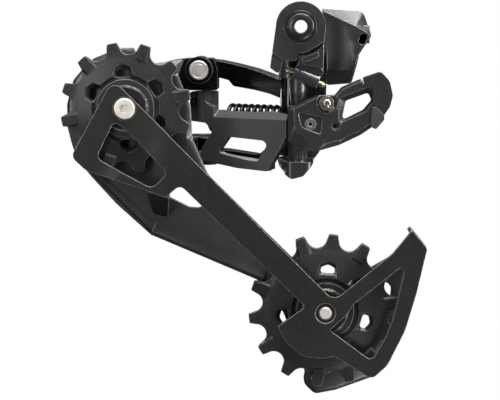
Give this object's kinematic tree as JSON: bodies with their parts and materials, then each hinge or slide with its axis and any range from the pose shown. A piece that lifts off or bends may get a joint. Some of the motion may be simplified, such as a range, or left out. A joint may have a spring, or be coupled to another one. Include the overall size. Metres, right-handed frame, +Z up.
{
  "type": "bicycle rear derailleur",
  "caption": "Long-cage rear derailleur: hanger bolt and stop plate, parallelogram links with a cable lever, clutch housing, and a sprung cage that guides the chain over toothed pulleys.",
  "frame": {"origin": "on the hanger bolt's axis, at the face of the stop plate that meets the frame's hanger", "axes": "+X to the rear of the bicycle, +Z up, +Y outboard along the hanger bolt, away from the wheel"},
  "size_m": [0.141, 0.0713, 0.154],
  "materials": {
    "steel": "satin turned steel",
    "black_steel": "black oxide",
    "anodised": "satin black anodised",
    "gloss_black": "gloss black paint",
    "plate_black": "satin black plate",
    "pulley_plastic": "dark grey moulded",
    "black_plastic": "moulded",
    "bronze": "sintered bronze",
    "brass_end": "plated screw",
    "rubber": "matte"
  },
  "bodies": {
    "hanger_mount": {"b_bolt": "black_steel", "hanger_stop_plate": "plate_black", "b_bolt_washer": "black_plastic", "b_bolt_clip": "steel"},
    "b_knuckle": {"b_knuckle": "anodised", "cable_ferrule": "black_plastic", "b_pivot_bush": "bronze", "pivot_pin_b_inner": "steel", "pivot_pin_b_outer": "steel"},
    "b_screw": {"b_screw": "brass_end"},
    "inner_link": {"inner_link": "anodised", "pivot_set_screw": "black_steel", "inner_link_bush": "bronze", "cable_lever": "anodised", "cable_anchor_bolt": "steel", "cable_anchor_washer": "steel", "cable_guide": "black_plastic", "cable_guide_clip": "black_plastic", "pivot_sleeve": "black_plastic", "return_spring": "steel"},
    "limit_screw_low": {"limit_screw_low": "black_steel"},
    "limit_screw_high": {"limit_screw_high": "black_steel"},
    "outer_link": {"outer_link": "gloss_black", "outer_link_bush": "bronze"},
    "p_knuckle": {"p_knuckle": "gloss_black", "pivot_pin_p_inner": "steel", "pivot_pin_p_outer": "steel", "clutch_cover": "anodised", "clutch_cover_seal": "rubber", "clutch_cover_screw": "black_steel", "clutch_band": "steel", "cage_torsion_spring": "steel", "cage_pivot_bush": "bronze", "cage_lock_spring": "steel"},
    "cage_lock_button": {"cage_lock_button": "steel"},
    "cage": {"cage_inner": "plate_black", "cage_outer": "plate_black", "cage_pivot_axle": "black_steel", "clutch_hub": "steel", "cage_stop_pin": "steel", "upper_pulley_bolt": "plate_black", "lower_pulley_bolt": "steel", "upper_inner_race": "steel", "lower_inner_race": "steel", "upper_dust_cover": "black_steel", "lower_dust_cover": "black_steel"},
    "upper_pulley": {"upper_pulley": "pulley_plastic", "upper_bearing": "steel", "upper_shield": "black_steel"},
    "lower_pulley": {"lower_pulley": "pulley_plastic", "lower_bearing": "steel", "lower_shield": "black_steel"}
  },
  "joints": [
    {"name": "knuckle_pivot", "type": "hinge", "parent": "hanger_mount", "child": "b_knuckle", "pos_m": [0, 0, 0], "axis": [0, -1, 0], "range_deg": [0, 25]},
    {"name": "b_screw_turn", "type": "hinge", "parent": "b_knuckle", "child": "b_screw", "pos_m": [0.0089, 0.006, -0.023], "axis": [0.9207, 0, -0.3902], "continuous": true},
    {"name": "link_fold", "type": "hinge", "parent": "b_knuckle", "child": "inner_link", "pos_m": [-0.001, 0.006, 0], "axis": [0, 0, 1], "range_deg": [0, 55], "stiffness_Nm_per_rad": 0.6, "springref_deg": -28.65},
    {"name": "outer_link_fold", "type": "hinge", "parent": "b_knuckle", "child": "outer_link", "pos_m": [-0.004, 0.024, 0], "axis": [0, 0, 1], "range_deg": [0, 55]},
    {"name": "p_knuckle_pivot", "type": "hinge", "parent": "inner_link", "child": "p_knuckle", "pos_m": [-0.03874, 0.03051, 0], "axis": [0, 0, 1], "range_deg": [-55, 0]},
    {"name": "limit_low_turn", "type": "hinge", "parent": "inner_link", "child": "limit_screw_low", "pos_m": [0.0039, 0, -0.0379], "axis": [0, 1, 0], "continuous": true},
    {"name": "limit_high_turn", "type": "hinge", "parent": "inner_link", "child": "limit_screw_high", "pos_m": [0.0136, 0, -0.0386], "axis": [0, 1, 0], "continuous": true},
    {"name": "cage_swing", "type": "hinge", "parent": "p_knuckle", "child": "cage", "pos_m": [-0.0605, 0, -0.0365], "axis": [0, 1, 0], "range_deg": [0, 100], "stiffness_Nm_per_rad": 0.35, "springref_deg": -114.59},
    {"name": "cage_lock", "type": "slide", "parent": "p_knuckle", "child": "cage_lock_button", "axis": [0, 1, 0], "range_m": [0, 0.0025], "stiffness_N_per_m": 400, "springref_m": -0.003},
    {"name": "upper_pulley_spin", "type": "hinge", "parent": "cage", "child": "upper_pulley", "pos_m": [-0.0673, -0.01, -0.0312], "axis": [0, 1, 0], "continuous": true},
    {"name": "lower_pulley_spin", "type": "hinge", "parent": "cage", "child": "lower_pulley", "pos_m": [0.0099, -0.01, -0.1098], "axis": [0, 1, 0], "continuous": true}
  ],
  "couplings": [
    {"joint": "outer_link_fold", "follows": "link_fold", "ratio": 1},
    {"joint": "p_knuckle_pivot", "follows": "link_fold", "ratio": -1}
  ]
}
